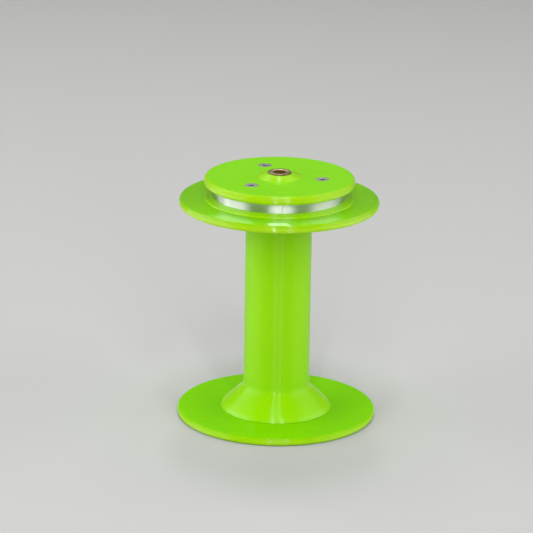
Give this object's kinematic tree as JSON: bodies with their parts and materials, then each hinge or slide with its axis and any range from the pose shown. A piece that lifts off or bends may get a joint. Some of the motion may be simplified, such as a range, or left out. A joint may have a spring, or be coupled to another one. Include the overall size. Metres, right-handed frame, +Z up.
{
  "type": "spool",
  "caption": "Flanged spool with a hollow flared-foot core, a band-lined belt groove under a screwed cap, and bronze bushes for a spindle.",
  "frame": {"origin": "centre of the base, where the spool stands on its lower flange", "axes": "+Z up the spool's axis towards the cap, -Y towards the side with the band's joint, +X to the right"},
  "size_m": [0.086, 0.086, 0.1093],
  "materials": {
    "green_plastic": "printed, satin gloss, fine layer lines",
    "aluminium_strip": "brushed along its length",
    "sintered_bronze": "sintered, matt, oiled",
    "screw_steel": "zinc plated",
    "insert_brass": "turned"
  },
  "bodies": {
    "root": {"lower_flange": "green_plastic", "core": "green_plastic", "upper_flange": "green_plastic", "groove_hub": "green_plastic", "cap": "green_plastic", "groove_band": "aluminium_strip", "upper_bushing": "sintered_bronze", "lower_bushing": "sintered_bronze", "cap_screw_1": "screw_steel", "cap_screw_2": "screw_steel", "cap_screw_3": "screw_steel", "base_screw_1": "screw_steel", "base_screw_2": "screw_steel", "base_screw_3": "screw_steel", "cap_insert_1": "insert_brass", "cap_insert_2": "insert_brass", "cap_insert_3": "insert_brass", "base_insert_1": "insert_brass", "base_insert_2": "insert_brass", "base_insert_3": "insert_brass"}
  },
  "joints": []
}
